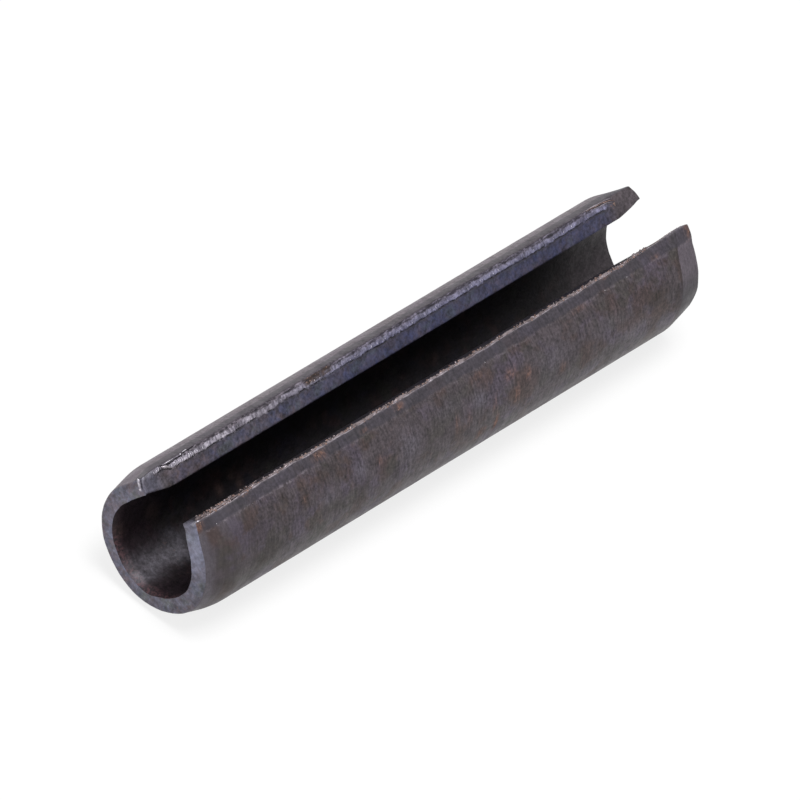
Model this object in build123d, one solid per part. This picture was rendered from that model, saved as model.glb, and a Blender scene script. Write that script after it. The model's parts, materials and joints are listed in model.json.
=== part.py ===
from build123d import *
from math import cos, radians, sin
import os

# Slotted spring pin, rolled from spring-steel strip. Millimetres.
# The pin lies on its side along X with its slot straight up, and its origin
# is on the surface that it lies on, under the middle of the pin.

outer_diameter = 8.5      # sprung open, before it is driven into its hole
length = 40.5             # from end face to end face
wall = 1.35               # thickness of the strip
slot_mouth = 4.2          # gap between the outer edges of the slot
slot_throat = 2.3         # gap between the inner edges of the slot

chamfer_length = 1.8      # how far the lead-in runs along the pin
chamfer_depth = 0.36      # how far it narrows the pin on each side
chamfer_blend = 1.2       # length of the bend between the lead-in and the barrel
rim_round = 0.2           # rounding of each end's outer edge and slot corners
lip_angle = 52.0          # from the slot's middle to where the ends stop bending

rim_steps = 3             # bands that make up the rounded rim
blend_steps = 4           # and the bend

outer_radius = outer_diameter / 2
bore_radius = outer_radius - wall
mid_radius = (outer_radius + bore_radius) / 2
rim_radius = outer_radius - chamfer_depth


def half_angle(gap, radius):
    """Angle from the slot's middle to one edge of a gap on a circle."""
    return Vector(0, 1).get_angle(Vector(gap / 2, (radius**2 - gap**2 / 4) ** 0.5))


mouth_angle = half_angle(slot_mouth, outer_radius)
throat_angle = half_angle(slot_throat, bore_radius)
lip_length = mid_radius * radians(lip_angle - (mouth_angle + throat_angle) / 2)


def polar(radius, angle):
    """Point of a cross-section, by its angle from the slot's middle."""
    return Vector(radius * sin(radians(angle)), radius * cos(radians(angle)))


def across(x):
    """Plane of the cross-section at x, centred on the pin's axis."""
    return Plane(origin=(x, 0, outer_radius), x_dir=(0, 1, 0), z_dir=(1, 0, 0))


def lip(radius, edge_angle, bend, inset):
    """One side of the strip beside the slot, from its edge to lip_angle.

    bend is 1 where the rolls bent it to the full circle and 0 where it stays
    straight. inset draws its edge back from the slot.
    """
    bent_length = radius * radians(lip_angle - edge_angle)
    run = bend * bent_length + (1 - bend) * lip_length - inset
    start = polar(radius, lip_angle)
    outward = start.normalized()
    tangent = Vector(-outward.Y, outward.X)
    if bend == 0:
        return Line(start + tangent * run, start)
    arc_radius = radius / bend
    centre = start - outward * arc_radius

    def along(distance):
        turn = distance / arc_radius
        return centre + (outward * cos(turn) + tangent * sin(turn)) * arc_radius

    return ThreePointArc(along(run), along(run / 2), start)


def half_section(radius, bend=1, inset=0):
    """Cross-section of the strip from the slot to the bottom of the pin.

    radius is the outer one. bend and inset are those of the outer lip; the
    inner lip has the same bend.
    """
    outer_lip = lip(radius, mouth_angle, bend, inset)
    inner_lip = lip(bore_radius, throat_angle, bend, inset)
    middle = (180 + lip_angle) / 2
    outer_arc = ThreePointArc(outer_lip @ 1, polar(radius, middle), polar(radius, 180))
    inner_arc = ThreePointArc(inner_lip @ 1, polar(bore_radius, middle), polar(bore_radius, 180))
    slot_face = Line(inner_lip @ 0, outer_lip @ 0)
    bottom = Line(outer_arc @ 1, inner_arc @ 1)
    return make_face([slot_face, outer_lip, outer_arc, bottom, inner_arc, inner_lip])


def end_sections():
    """Half sections from an end face to the barrel, each with its distance from the face."""
    for step in range(rim_steps + 1):
        turn = radians(90) * step / rim_steps
        inset = rim_round * (1 - sin(turn))
        yield rim_round * (1 - cos(turn)), half_section(rim_radius - inset, 0, inset)
    lead_in = Line((rim_round, rim_radius), (chamfer_length, outer_radius))
    blend_start = lead_in @ (1 - chamfer_blend / 2 / lead_in.length)
    blend = Bezier(blend_start, lead_in @ 1, lead_in @ 1 + Vector(chamfer_blend / 2))
    for step in range(blend_steps + 1):
        point = blend @ (step / blend_steps)
        yield point.X, half_section(point.Y, min(1, point.X / chamfer_length))


def quarter_pin():
    """The pin from its -X end to its middle, on the +Y side of the slot."""
    end_face = -length / 2
    depths, sections = zip(*end_sections())
    placed = [across(end_face + depth) * section for depth, section in zip(depths, sections)]
    end = loft(placed, ruled=True)
    barrel_start = end_face + depths[-1]
    return end + extrude(across(barrel_start) * half_section(outer_radius), -barrel_start)


def spring_pin():
    quarter = quarter_pin()
    half = quarter + mirror(quarter, about=Plane.XZ)
    return half + mirror(half, about=Plane.YZ)


pin = spring_pin()
os.makedirs("parts", exist_ok=True)
export_step(pin, "parts/spring_pin.step")
print("spring_pin volume in mm3:", pin.volume)
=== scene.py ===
import json
import math
import bmesh
import bpy
import numpy as np
from mathutils import Matrix, Vector


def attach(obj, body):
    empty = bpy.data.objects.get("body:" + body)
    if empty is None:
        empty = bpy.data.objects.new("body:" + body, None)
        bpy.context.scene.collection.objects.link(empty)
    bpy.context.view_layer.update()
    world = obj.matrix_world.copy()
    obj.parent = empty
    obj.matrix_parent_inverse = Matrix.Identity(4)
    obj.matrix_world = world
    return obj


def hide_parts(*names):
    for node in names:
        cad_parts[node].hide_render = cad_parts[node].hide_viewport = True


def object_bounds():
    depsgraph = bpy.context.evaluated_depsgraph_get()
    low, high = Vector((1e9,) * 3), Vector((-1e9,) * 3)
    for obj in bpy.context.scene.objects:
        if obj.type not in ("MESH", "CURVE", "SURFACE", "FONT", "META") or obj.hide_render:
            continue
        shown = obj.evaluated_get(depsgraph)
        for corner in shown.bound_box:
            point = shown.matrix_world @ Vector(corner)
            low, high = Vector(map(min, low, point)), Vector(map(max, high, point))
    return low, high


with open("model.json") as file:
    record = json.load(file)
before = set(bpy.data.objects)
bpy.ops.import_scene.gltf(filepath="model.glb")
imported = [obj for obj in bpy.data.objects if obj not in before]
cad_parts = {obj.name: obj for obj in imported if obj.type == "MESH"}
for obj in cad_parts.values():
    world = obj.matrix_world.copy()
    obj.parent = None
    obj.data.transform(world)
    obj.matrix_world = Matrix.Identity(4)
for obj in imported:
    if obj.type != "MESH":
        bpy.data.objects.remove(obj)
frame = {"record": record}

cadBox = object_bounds()
mm = 0.001                                  # shapes are worked out in millimetres
radii = {m["name"]: m["dims"]["r_mm"] for m in frame["record"]["mounts"]}

pin = {
    "length": (cadBox[1][0] - cadBox[0][0]) / mm,
    "radius": radii["barrel"],
    "bore": radii["bore"],
    "slotMouth": 4.2,                       # gap between the outer edges
    "slotThroat": 2.3,                      # gap between the inner edges
    "rimRound": 0.2,                        # rounding of the end's outer edge
    "lipAngle": 52.0,                       # the strip's edges are pressed straight from here on
    "lipBlend": 1.8,                        # and run back into the round over this length at each end
    "edgeRound": 0.11, "edgeDrop": 0.04,    # how far the rounded edges reach, and how far they drop
    "columns": 84,                          # mesh columns round the outer and the inner wall
    "rows": 30,                             # and across a slot face
}

# The swaged ends came out a little different. Each pair is degrees round from the slot, down the +Y side,
# under and up the -Y side, and millimetres.
nearEnd = {
    "leadLength": ((20, 1.75), (48, 1.45), (75, 1.75), (190, 1.75), (215, 1.5), (245, 1.75), (290, 1.5),
                   (324, 2.05), (340, 2.1)),
    "leadDrop": ((20, 0.38), (50, 0.41), (75, 0.31), (100, 0.26), (140, 0.37), (170, 0.31), (190, 0.35),
                 (210, 0.35), (340, 0.36)),
    "leadBend": 1.2,
    "pushedIn": ((245, 0), (278, 0.2), (306, 0.25), (332, 0)),
    "boreEased": ((60, 0), (95, 0.2), (140, 0.17), (185, 0.28), (205, 0.05), (230, 0)),
}
farEnd = {
    "leadLength": ((20, 1.8), (180, 1.8), (260, 1.9), (300, 1.75), (316, 1.65), (324, 1.3), (332, 1.0)),
    "leadDrop": ((20, 0.36), (255, 0.36), (285, 0.3), (305, 0.31), (318, 0.2), (330, 0.06)),
    "leadBend": 0.3,
    "pushedIn": ((0, 0), (360, 0)),
    "boreEased": ((0, 0.04), (360, 0.04)),
}
pushReach, easeReach = 2.2, 0.6             # how far along the pin the last two go
shiftFade = 0.8                             # how far from an edge its shift dies out
cornerReach, cornerWidth = 0.9, 0.3         # how far along the pin and over the lip a blunted corner goes
mouthWaves = {                              # the ends are a little uneven, except beside the slot
    "reach": 0.9, "outer": 0.03, "bore": 0.035,
    "cell": 11, "from": 36, "over": 20,     # in degrees
}
stripWaves = {"slow": 0.006, "quick": 0.0035, "pits": 0.014, "boreSlow": 0.025, "boreQuick": 0.012}
brightEdge = {"outside": 0.05, "face": 0.06, "inner": 0.05}     # half widths of the bright edges
paleLine = {"at": -0.62, "width": 0.07}     # a broken line beside the slot

edgeShift = {                               # slot edges out of line: x, and how far towards the slot
    "leftOuter": ((-20.25, 0), (20.25, 0)),
    "rightOuter": ((15, 0), (17.5, 0.06), (18.5, 0.16), (19.4, 0.28), (20.0, 0.27), (20.25, 0.2)),
    "leftInner": ((-20.25, -0.1), (-19, -0.09), (-17.8, 0), (20.25, 0)),
    "rightInner": ((-20.25, -0.05), (-17, 0), (14, 0), (18, -0.12), (20.25, -0.24)),
}
# lip corners worn back: which end, which side, distance over the face, and how far
blunted = (
    (1, 1, 0.0, 0.23), (1, 1, 1.35, 0.14), (1, -1, 0.0, 0.13), (1, -1, -0.9, 0.05), (1, -1, 1.35, 0.2),
    (-1, 1, 0.0, 0.12), (-1, -1, 1.35, 0.06),
)

mouthAngle = math.degrees(math.asin(pin["slotMouth"] / 2 / pin["radius"]))
throatAngle = math.degrees(math.asin(pin["slotThroat"] / 2 / pin["bore"]))
lipLength = (pin["radius"] + pin["bore"]) / 2 * math.radians(pin["lipAngle"] - (mouthAngle + throatAngle) / 2)
columns, rows = pin["columns"], pin["rows"]
skinPart = slice(0, columns)                # a ring of mesh points runs over these four in turn
rightFace = slice(columns, columns + rows)
borePart = slice(columns + rows, 2 * columns + rows)
leftFace = slice(2 * columns + rows, 2 * (columns + rows))


def smoothStep(low, high, value):
    t = np.clip((value - low) / (high - low), 0, 1)
    return t * t * (3 - 2 * t)


def softCurve(points, value, soft):         # through hand-set points, with its corners softened
    at, to = np.array(points, float).T
    return sum(np.interp(value + shift, at, to) for shift in (-soft, -soft / 2, 0, soft / 2, soft)) / 5


def softNoise(u, v, seed, layers=3):        # from -1 to 1, with the widest cells one unit wide
    total, weight = 0, 0
    for k in range(layers):
        table = np.random.default_rng(seed + k).random((97, 89)) * 2 - 1
        uk, vk = u * 2**k, v * 2**k
        iu, iv = np.floor(uk).astype(int), np.floor(vk).astype(int)
        fu, fv = uk - iu, vk - iv
        fu, fv = fu * fu * (3 - 2 * fu), fv * fv * (3 - 2 * fv)
        low = table[iu % 97, iv % 89] * (1 - fu) + table[(iu + 1) % 97, iv % 89] * fu
        high = table[iu % 97, (iv + 1) % 89] * (1 - fu) + table[(iu + 1) % 97, (iv + 1) % 89] * fu
        total = total + (low * (1 - fv) + high * fv) / 2**k
        weight += 1 / 2**k
    return total / weight


def wave(x, often, seed, layers=3):         # the same along the pin only
    return softNoise(x * often, x * 0, seed, layers)


def bell(distance, width):
    return np.exp(-(distance / width)**2)


def atEnds(name, x, angle):                 # a value of the nearer end
    return np.where(x < 0, softCurve(nearEnd[name], angle, 6), softCurve(farEnd[name], angle, 6))


def leadRadius(x, depth, angle):            # outer radius at a depth from the nearer end face
    length = atEnds("leadLength", x, angle)
    slope = atEnds("leadDrop", x, angle) / (length - pin["rimRound"])
    bend = np.where(x < 0, nearEnd["leadBend"], farEnd["leadBend"])
    straight = pin["radius"] - slope * (length - depth)
    bent = pin["radius"] - slope * np.clip(length + bend / 2 - depth, 0, None)**2 / (2 * bend)
    return np.where(depth > length - bend / 2, bent, straight)


def endDepth(x):                            # distance from the nearer end face
    return pin["length"] / 2 - np.abs(x)


def rimInset(depth):                        # the rounding of the end's outer edge
    reach = np.clip(1 - depth / pin["rimRound"], 0, 1)
    return pin["rimRound"] * (1 - np.sqrt(1 - reach**2))


def wallPoint(radius, edgeAngle, angle, bend, inset):
    # y and z of a point of the wall; the stretch beside the slot goes from bent to straight
    side = np.where(angle <= 180, 1.0, -1.0)
    angle = np.where(angle <= 180, angle, 360 - angle)
    lip = math.radians(pin["lipAngle"])
    share = np.clip((pin["lipAngle"] - angle) / (pin["lipAngle"] - edgeAngle), 0, 1)
    bentLength = radius * math.radians(pin["lipAngle"] - edgeAngle)
    run = share * (bend * bentLength + (1 - bend) * lipLength - inset)
    turn = np.maximum(run * bend / radius, 1e-6)
    forward, inward = run * np.sin(turn) / turn, run * (1 - np.cos(turn)) / turn
    onLip = angle < pin["lipAngle"]
    lipY = (radius - inward) * math.sin(lip) - forward * math.cos(lip)
    lipZ = (radius - inward) * math.cos(lip) + forward * math.sin(lip)
    y = np.where(onLip, lipY, radius * np.sin(np.radians(angle)))
    z = np.where(onLip, lipZ, radius * np.cos(np.radians(angle)))
    return np.stack([side * y, z + pin["radius"]], -1)


def columnAngles(edgeAngle):                # closer together beside the slot
    u = np.linspace(-1, 1, columns)
    fromEdge = 1 - np.abs(u)
    eased = 0.2 * fromEdge + 0.8 * fromEdge**2
    return 180 + np.sign(u) * (1 - eased) * (180 - edgeAngle)


def stations():                             # places along the pin, closer where there is more to show
    rim = pin["rimRound"] * (1 - np.cos(np.linspace(0, math.pi / 2, 6)))
    steps = ((-20.05, -19.4, 0.1), (-19.4, -15.7, 0.045), (-15.7, -9.0, 0.1), (-9.0, 17.6, 0.19),
             (17.6, 20.05, 0.07))
    spans = [np.arange(start, stop - step / 2, step) for start, stop, step in steps]
    half = pin["length"] / 2
    return np.concatenate([rim[:-1] - half, *spans, half - rim[::-1]])


def rowShares():                            # closer together towards the outer edge
    u = np.linspace(0, 1, rows + 2)[1:-1]
    return np.where(u < 0.6, u * 0.44 / 0.6, 0.44 + (u - 0.6) * 0.56 / 0.4)


def buildWall():
    x = stations()[:, None]
    depth = endDepth(x)
    bend = np.clip((depth - pin["rimRound"]) / (pin["lipBlend"] - pin["rimRound"]), 0, 1)
    inset = rimInset(depth)
    pushFade, easeFade = (np.clip(1 - depth / reach, 0, 1)**2 for reach in (pushReach, easeReach))
    angle = columnAngles(mouthAngle)[None]
    fromSlot = np.minimum(angle, 360 - angle)
    uneven = np.clip((fromSlot - mouthWaves["from"]) / mouthWaves["over"], 0, 1)
    uneven = np.clip(1 - depth / mouthWaves["reach"], 0, 1) * uneven
    radius = leadRadius(x, np.maximum(depth, pin["rimRound"]), angle) - inset
    radius = radius - pushFade * atEnds("pushedIn", x, angle)
    radius = radius + mouthWaves["outer"] * softNoise(angle / mouthWaves["cell"], x * 0, 401) * uneven
    outer = wallPoint(radius, mouthAngle, angle, bend, inset)
    angle = columnAngles(throatAngle)[None]
    eased = easeFade * atEnds("boreEased", x, angle) - pushFade * atEnds("pushedIn", x, angle)
    waves = mouthWaves["bore"] * softNoise(angle / mouthWaves["cell"], x * 0, 431) * uneven
    radius = pin["bore"] + waves + eased
    inner = wallPoint(radius, throatAngle, angle, bend, 0)
    share = rowShares()[None, :, None]
    rightPoints = outer[:, -1:] + (inner[:, -1:] - outer[:, -1:]) * share
    leftPoints = inner[:, :1] + (outer[:, :1] - inner[:, :1]) * (1 - share[:, ::-1])
    yz = np.concatenate([outer, rightPoints, inner[:, ::-1], leftPoints], 1)

    # distance round the wall from the slot's outer edge: below 0 outside, then over the face, then inside
    def runFromEdge(points):
        steps = np.linalg.norm(np.diff(points, axis=1), axis=2)
        run = np.concatenate([np.zeros_like(x), np.cumsum(steps, 1)], 1)
        return np.minimum(run, run[:, -1:] - run)

    faceWidth = np.linalg.norm(outer[:, :1] - inner[:, :1], axis=2)
    share = share[..., 0]
    across = np.concatenate([-runFromEdge(outer), faceWidth * share, faceWidth + runFromEdge(inner)[:, ::-1],
                             faceWidth * share[:, ::-1]], 1)
    return x, yz, across, faceWidth


# the slot was cut by shearing, which tears the outer half of each face
tear = {
    "line": 0.53, "wander": 0.03,           # the ragged line below the torn half, from the outer edge
    "shelf": 0.3,                           # the stretch above the line that is burnished bright
    "groove": 0.05, "grooveWidth": 0.04,
    "fallAway": 0.03,                       # how far the torn half falls back towards the outer edge
    "rough": 0.02, "pits": 0.045,
    "nearRise": 0.2,                        # how much higher the line runs on the swaged stretch
    "nearFade": (0.95, 1.15), "farFade": (1.7, 2.9),    # smooth this far from each end
}
crack = {                                   # x and distance over the face, under a lip folded at the near end
    "path": ((-18.85, -0.06), (-18.53, 0.03), (-18.33, 0.13), (-17.97, 0.18), (-17.67, 0.17), (-17.5, 0.12),
             (-17.1, 0.12), (-16.83, 0.05), (-16.3, 0.03), (-15.9, 0.0), (-15.7, -0.04)),
    "depth": 0.085, "width": 0.036, "lift": 0.045,
}


def tornLine(x, side):                      # distance of the ragged line from the outer edge
    seed = 11 if side > 0 else 47
    slow, quick = softNoise(x * 1.1, x * 0 + 3, seed, 2), wave(x, 3.7, seed + 3, 2)
    rise = tear["nearRise"] * smoothStep(-17.95, -18.3, x)
    return tear["line"] + tear["wander"] * (slow + 1.3 * quick) - rise


def tornHeight(x, across, side):            # height over the plain face, how torn it is, and its pits
    depth = endDepth(x)
    here = np.where(x < 0, smoothStep(*tear["nearFade"], depth), smoothStep(*tear["farFade"], depth))
    seed = 11 if side > 0 else 47
    line = tornLine(x, side)
    fromLine = across - line
    torn = smoothStep(0.02, -0.02, fromLine) * here
    shelf = smoothStep(-tear["shelf"] - 0.04, -tear["shelf"] + 0.04, fromLine) * torn
    ticks = softNoise(x * 6.0, across * 1.6, seed + 5, 2)
    blotch = softNoise(x * 1.3, across * 3.0, seed + 9)
    groove = bell(fromLine, tear["grooveWidth"]) * here
    groove = groove * np.clip(0.55 + 1.2 * wave(x, 3.4, seed + 21), 0.05, 1)
    pits = np.clip(softNoise(x * 4.5, across * 7, seed + 30, 2) - 0.1, 0, 1) * (torn - shelf)
    height = torn * tear["rough"] * (ticks + 0.5 * blotch) - tear["groove"] * groove - tear["pits"] * pits
    height = height - tear["fallAway"] * np.clip(-fromLine / line, 0, 1) * here
    return height, here, 2.2 * pits


def crackHeight(x, across):
    at, to = np.array(crack["path"]).T
    fromPath = across - np.interp(x, at, to) - 0.012 * wave(x, 5, 71, 2)
    here = smoothStep(at[0], at[0] + 0.25, x) * smoothStep(at[-1], at[-1] - 0.3, x)
    above = smoothStep(0.015, -0.015, fromPath) * smoothStep(-0.3, -0.1, fromPath) * here
    gap = bell(fromPath - 0.02, crack["width"]) * here
    return crack["lift"] * above - crack["depth"] * gap, above, gap


# x, distance outside the slot's edge, half lengths along and round, and strength
rustSpots = (
    (-10.6, -0.33, 0.42, 0.22, 1.3), (-20.0, -0.34, 0.2, 0.27, 1.6), (-7.0, -0.45, 0.25, 0.12, 0.5),
    (-4.1, -0.3, 0.26, 0.17, 1.4), (-6.7, -2.4, 0.25, 0.2, 0.8), (4.2, -2.0, 0.4, 0.3, 0.8),
    (5.5, -2.5, 0.25, 0.35, 0.8), (2.9, -4.6, 0.14, 0.6, 1.0), (1.8, -4.7, 0.3, 0.25, 0.9),
    (2.7, -3.2, 0.12, 0.5, 0.7), (0.6, -3.2, 0.12, 0.5, 0.5), (-0.4, -2.9, 0.12, 0.5, 0.5),
    (4.5, -3.4, 0.3, 0.5, 0.6), (8.3, -3.5, 0.25, 0.3, 0.6), (-12.7, -2.1, 0.3, 0.3, 0.4),
    (13.2, -0.05, 0.25, 0.1, 0.9), (17.1, -0.6, 0.3, 0.12, 0.5), (10.4, -0.85, 0.5, 0.12, 0.6),
    (19.95, -0.2, 0.25, 0.35, 0.7), (-16.4, -0.1, 0.3, 0.06, 0.6), (1.9, -1.1, 0.4, 0.15, 0.4),
)
stains = (                                  # the same, with a strength below 0 for dark and above 0 for pale
    (-18.2, -0.9, 0.7, 0.7, 0.4), (-10.9, -2.7, 0.8, 0.5, 0.6), (-8.2, -2.3, 0.6, 0.5, 0.8),
    (-4.2, -2.6, 0.8, 0.9, 0.8), (1.6, -2.4, 0.6, 0.5, 1.0), (-0.9, -1.9, 1.4, 0.6, 0.4),
    (7.4, -2.6, 1.5, 1.0, 0.5), (14.4, -4.0, 1.3, 0.6, 0.6), (12.4, -2.6, 1.4, 0.6, 0.4),
    (-16.3, -2.3, 0.9, 0.8, -0.5), (-16.1, -4.5, 1.4, 0.8, -0.9), (-18.7, -4.4, 0.6, 0.7, -0.6),
    (-12.6, -2.1, 0.35, 0.4, -0.7), (-8.2, -3.8, 0.6, 0.4, -0.7), (-5.6, -4.0, 0.7, 0.4, -0.6),
    (-9.9, -1.2, 1.0, 0.4, -0.5), (-0.5, -3.7, 0.4, 0.4, -0.5), (2.9, -4.4, 0.3, 0.6, -0.5),
    (8.4, -3.6, 0.4, 0.3, -0.6), (16.3, -2.7, 0.9, 0.6, -0.8), (18.1, -3.4, 0.35, 0.8, -0.7),
)
boreRust = (                                # x, degrees from the slot, half width and strength
    (-12.18, 130, 0.27, 0.6), (-10.65, 136, 0.25, 0.6), (-11.1, 122, 0.24, 0.4), (-17.3, 110, 0.5, 0.3),
    (-3.4, 118, 0.2, 0.4), (5.6, 127, 0.25, 0.4), (-19.9, 112, 0.4, 0.35),
)
faceRust = (                                # from x to x, which side, and from and to over the face
    (-7.1, -5.0, 1, -0.03, 0.42), (-19.4, -15.8, -1, 0.0, 0.6), (-14.5, -3.0, -1, 0.0, 0.5),
    (-1.0, 6.5, -1, 0.0, 0.5), (8.0, 9.5, -1, 0.0, 0.4), (11.5, 16.0, -1, 0.0, 0.5),
)
farCrumbs = (18.35, 0.5, 0.25, 0.3, 0.7)    # rust crumbs on the left face: as the spots, but over the face


def spotMask(spots, x, across):
    mask = 0 * x * across
    for spotX, spotAcross, alongX, around, strength in spots:
        far = ((x - spotX) / alongX)**2 + ((across - spotAcross) / around)**2
        mask += strength * np.exp(-far)
    return mask


def faceRustMask(x, across, side):
    mask = 0 * x * across
    for start, stop, onSide, low, high in faceRust:
        if onSide == side:
            patch = smoothStep(start - 0.15, start + 0.15, x) * smoothStep(stop + 0.1, stop - 0.1, x)
            patch = patch * smoothStep(low - 0.05, low + 0.05, across)
            mask = np.maximum(mask, patch * smoothStep(high + 0.06, high - 0.06, across))
    return mask * np.clip(0.95 + 0.9 * softNoise(x * 5, across * 6, 17), 0, 1)


def unit(vectors):
    return vectors / np.linalg.norm(vectors, axis=1, keepdims=True)


def lipFrame(yz, side):                     # directions at a lip's edges, in the plane across the pin
    outerEdge, outerNext = (0, 1) if side > 0 else (columns - 1, columns - 2)
    innerEdge = borePart.stop - 1 if side > 0 else borePart.start
    toSlot = unit(yz[:, outerEdge] - yz[:, outerNext])
    down = unit(yz[:, innerEdge] - yz[:, outerEdge])
    wallNormal = side * np.stack([toSlot[:, 1], -toSlot[:, 0]], 1)
    faceNormal = side * np.stack([down[:, 1], -down[:, 0]], 1)
    return toSlot, faceNormal, unit(wallNormal + faceNormal), unit(faceNormal - wallNormal)


def dressLip(x, yz, across, faceWidth, moved, marks, side):
    left = side > 0
    middle = borePart.start + columns // 2
    face = leftFace if left else rightFace
    skinHalf = slice(0, columns // 2) if left else slice(columns // 2, columns)
    boreHalf = slice(middle, borePart.stop) if left else slice(borePart.start, middle)
    around, over, inside = across[:, skinHalf], across[:, face], across[:, boreHalf] - faceWidth
    toSlot, faceNormal, outerCorner, innerCorner = lipFrame(yz, side)
    depth = endDepth(x)

    def push(part, distance, direction):
        moved[:, part] += distance[..., None] * direction[:, None]

    # rounded edges, and edges out of line
    for part, fromEdge, corner in ((skinHalf, around, outerCorner), (face, over, outerCorner),
                                   (face, over - faceWidth, innerCorner), (boreHalf, inside, innerCorner)):
        push(part, -pin["edgeDrop"] * np.clip(1 - np.abs(fromEdge) / pin["edgeRound"], 0, 1)**2, corner)
    name = "left" if left else "right"
    waves = 0.045 * wave(x, 0.55, 90 + side) + 0.03 * wave(x, 1.6, 94 + side, 2)
    outerShift = softCurve(edgeShift[name + "Outer"], x, 0.3) + waves * smoothStep(0.3, 2.0, depth)
    innerShift = softCurve(edgeShift[name + "Inner"], x, 0.3)
    share = np.clip(over / faceWidth, 0, 1)
    push(skinHalf, outerShift * np.clip(1 + around / shiftFade, 0, 1)**2, toSlot)
    push(face, outerShift * (1 - share) + innerShift * share, toSlot)
    push(boreHalf, innerShift * np.clip(1 - inside / shiftFade, 0, 1)**2, toSlot)

    height, here, pitted = tornHeight(x, over, side)
    if left:
        rise, above, gap = crackHeight(x, over)
        height = height * (1 - above) + rise
        # the crack under the folded lip is darkened like a pit: painted shade
        pitted = pitted * (1 - above) + 1.6 * gap
        marks["raised"][:, face] = above
    push(face, height, faceNormal)
    for part in (skinHalf, face):
        marks["torn"][:, part] = here
        marks["fromLine"][:, part] = np.clip(across[:, part] - tornLine(x, side), -1, 1)
    marks["fromLine"][:, boreHalf] = 1
    marks["pitted"][:, face] = np.clip(pitted, 0, 1)
    marks["rust"][:, face] = faceRustMask(x, over, side)
    # the inner edge of each face: worn bright, with a painted highlight along it
    innerEdgeBright = np.clip(wave(x, 1.6, 61 + side) * 1.6, 0, 1)
    marks["shine"][:, face] = 0.6 * innerEdgeBright * bell(over - faceWidth, brightEdge["inner"])

    if left:                                # rust inside the bore, where the slot shows it
        for spotX, degrees, reach, strength in boreRust:
            fromSpot = inside - pin["bore"] * math.radians(degrees - throatAngle)
            spot = strength * np.exp(-((x - spotX)**2 + fromSpot**2) / reach**2)
            marks["rust"][:, boreHalf] = np.maximum(marks["rust"][:, boreHalf], spot)
    else:                                   # the edge worn bright, with a painted highlight along it; rust, stains and a broken line outside
        rubbed = 0.5 * np.clip(0.45 + 0.9 * wave(x, 2.2, 31 + side), 0, 1)
        marks["shine"][:, skinHalf] = rubbed * bell(around, brightEdge["outside"])
        marks["shine"][:, face] += rubbed * bell(over, brightEdge["face"])
        patchy = np.clip(0.85 + 0.8 * softNoise(x * 5, around * 7, 203), 0, 1.3)
        marks["rust"][:, skinHalf] = spotMask(rustSpots, x, around) * patchy
        marks["stain"][:, skinHalf] = spotMask(stains, x, around)
        onLine = bell(around - paleLine["at"], paleLine["width"])
        marks["fleck"][:, skinHalf] = 0.9 * onLine * np.clip(wave(x, 0.8, 77) + 0.3, 0, 1)


def roughenWall(x, yz, across, faceWidth, moved):       # slow waves and shallow pits of the rolled strip
    depth = endDepth(x)
    half = np.arange(columns) < columns // 2
    fromAxis = yz - np.array([0, pin["radius"]])
    fromAxis /= np.linalg.norm(fromAxis, axis=2, keepdims=True)
    around = np.where(half, -across[:, skinPart], across[:, skinPart])
    lift = stripWaves["slow"] * softNoise(x * 0.5, around * 0.5, 5)
    lift = lift + stripWaves["quick"] * softNoise(x * 2.6, around * 1.4, 6)
    lift = lift - stripWaves["pits"] * np.clip(softNoise(x * 2.2, around * 2.2, 8) - 0.45, 0, 1)
    lift = lift * smoothStep(0.1, 0.5, np.abs(around)) * smoothStep(0.2, 0.6, depth)
    moved[:, skinPart] += lift[..., None] * fromAxis[:, skinPart]
    inside = across[:, borePart] - faceWidth
    around = np.where(half, -inside, inside)
    lift = stripWaves["boreSlow"] * softNoise(x * 0.9, around * 1.1, 15)
    lift = lift + stripWaves["boreQuick"] * softNoise(x * 4, around * 4, 19)
    moved[:, borePart] -= (lift * smoothStep(0.05, 0.5, inside))[..., None] * fromAxis[:, borePart]


def bluntCorners(x, across):                # how far each point moves back from its end
    shift = 0 * x * across
    depth = endDepth(x)
    onLeft = np.zeros(across.shape[1], bool)
    onLeft[:columns // 2] = onLeft[borePart.start + columns // 2:] = True
    for end, side, over, amount in blunted:
        here = (np.sign(x) == end) * (onLeft if side > 0 else ~onLeft)
        nearness = np.clip(1 - depth / cornerReach, 0, 1)**2 * bell(across - over, cornerWidth)
        shift -= end * amount * here * nearness
    return shift


def buildSurface():
    x, yz, across, faceWidth = buildWall()
    moved = yz.copy()
    marks = {name: np.zeros_like(across) for name in ("torn", "fromLine", "raised", "pitted", "shine", "rust",
                                                      "crumbs", "fleck", "toCrease", "stain")}
    for side in (1, -1):
        dressLip(x, yz, across, faceWidth, moved, marks, side)
    roughenWall(x, yz, across, faceWidth, moved)
    alongPin = x + bluntCorners(x, across)
    angle = columnAngles(mouthAngle)[None]
    toCrease = endDepth(x) - atEnds("leadLength", x, angle)
    marks["toCrease"][:, skinPart] = np.where(x > 0, np.clip(toCrease, -1, 1), 1)
    marks["crumbs"] = marks["rust"].copy()
    marks["crumbs"][:, skinPart] *= 0.5
    marks["crumbs"][:, columns:] = 0
    onLeft = spotMask((farCrumbs,), x, across[:, leftFace])
    marks["crumbs"][:, leftFace] = onLeft + 0.5 * marks["rust"][:, leftFace]
    underEdge = smoothStep(0.0, 0.06, across[:, rightFace]) * smoothStep(0.5, 0.3, across[:, rightFace])
    marks["crumbs"][:, rightFace] = underEdge * smoothStep(-20.1, -19.8, x)
    marks["across"] = across
    return np.concatenate([alongPin[..., None], moved], 2), marks


def newMesh(name, points, edges=(), faces=()):   # points in millimetres
    mesh = bpy.data.meshes.new(name)
    mesh.from_pydata((np.array(points) * mm).tolist(), edges, faces)
    return mesh


def addMark(mesh, name, values, kind="FLOAT"):
    field = "vector" if kind == "FLOAT_VECTOR" else "value"
    mesh.attributes.new(name, kind, "POINT").data.foreach_set(field, np.array(values))


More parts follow.
